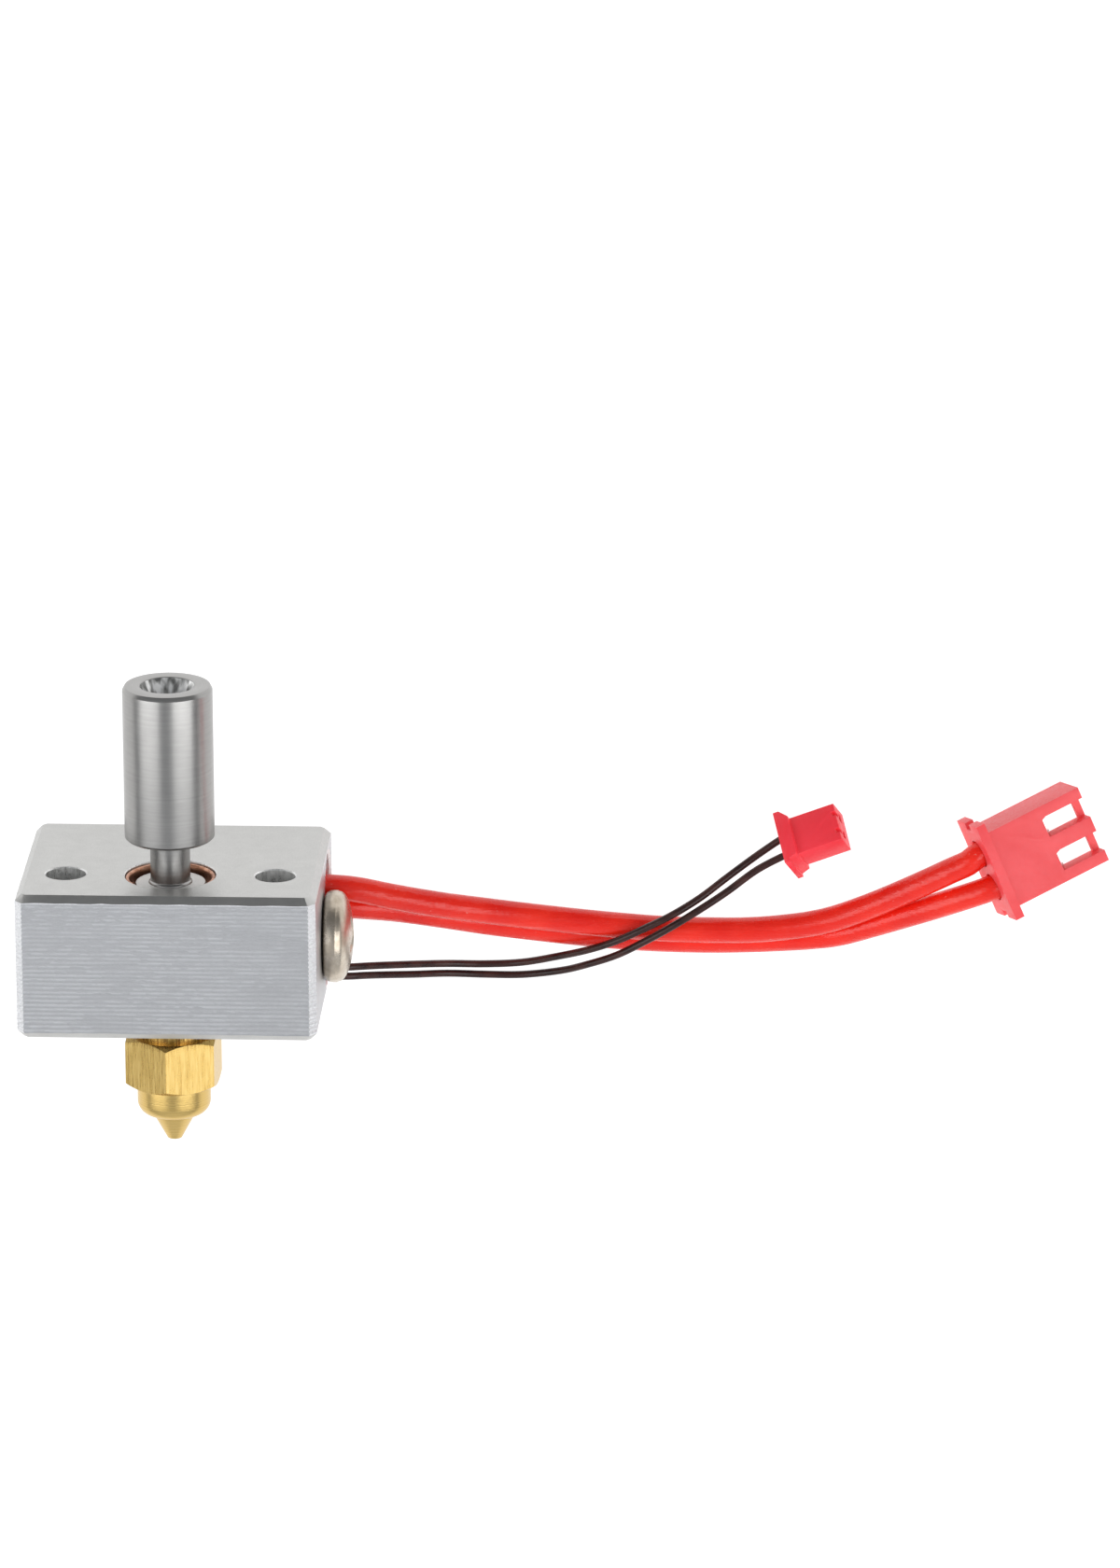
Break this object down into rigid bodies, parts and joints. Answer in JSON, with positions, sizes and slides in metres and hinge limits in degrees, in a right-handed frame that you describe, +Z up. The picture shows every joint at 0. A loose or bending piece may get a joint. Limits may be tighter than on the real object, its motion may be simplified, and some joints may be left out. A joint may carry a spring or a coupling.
{
  "type": "3-D printer hot end",
  "caption": "Milled heater block with screwed-in throat and nozzle, heater and thermistor held by a domed screw, and short red and brown leads ending in red plugs",
  "frame": {"origin": "the point on the block's back face below the crossing of the throat's axis and the block's mid-height; the part lies on that face", "axes": "+X runs along the block towards the leads, +Y runs up the throat away from the nozzle, +Z is up, out of the block's front face. In a printer the part is turned so that -Y points down"},
  "size_m": [0.0725, 0.0318, 0.016],
  "materials": {
    "milled_aluminium": "milled, with fine tool lines and chamfered edges",
    "turned_stainless": "turned, satin",
    "copper": "plain copper, slightly oxidised",
    "brass": "turned and milled, bright",
    "nickel_plate": "nickel plated, warm and slightly worn",
    "white_ceramic": "unglazed, matt",
    "heating_wire": "drawn resistance wire",
    "amber_glass": "fused glass bead",
    "red_silicone": "glossy extruded silicone insulation",
    "brown_insulation": "thin glossy insulation",
    "coral_plastic": "moulded nylon, satin",
    "tinned_contact": "tin plated strip"
  },
  "bodies": {
    "block": {"heater_block": "milled_aluminium", "heater_sheath": "turned_stainless", "heater_pin_a": "turned_stainless", "heater_pin_b": "turned_stainless", "thermistor_capsule": "turned_stainless", "copper_ring": "copper", "heater_core": "white_ceramic", "heater_end_seal": "white_ceramic", "thermistor_seal": "white_ceramic", "heater_coil": "heating_wire", "thermistor_bead": "amber_glass", "heater_lead_a": "red_silicone", "heater_lead_b": "red_silicone", "thermistor_lead_a": "brown_insulation", "thermistor_lead_b": "brown_insulation", "power_plug": "coral_plastic", "sensor_plug": "coral_plastic", "power_contact_a": "tinned_contact", "power_contact_b": "tinned_contact", "sensor_contact_a": "tinned_contact", "sensor_contact_b": "tinned_contact"},
    "throat": {"throat": "turned_stainless"},
    "nozzle": {"nozzle": "brass"},
    "clamp_screw": {"clamp_screw": "nickel_plate"}
  },
  "joints": [
    {"name": "nozzle_unscrew", "type": "slide", "parent": "block", "child": "nozzle", "axis": [0, -1, 0], "range_m": [0, 0.005]},
    {"name": "throat_unscrew", "type": "slide", "parent": "block", "child": "throat", "axis": [0, 1, 0], "range_m": [0, 0.0048]},
    {"name": "clamp_screw_unscrew", "type": "slide", "parent": "block", "child": "clamp_screw", "axis": [1, 0, 0], "range_m": [0, 0.0068]}
  ]
}
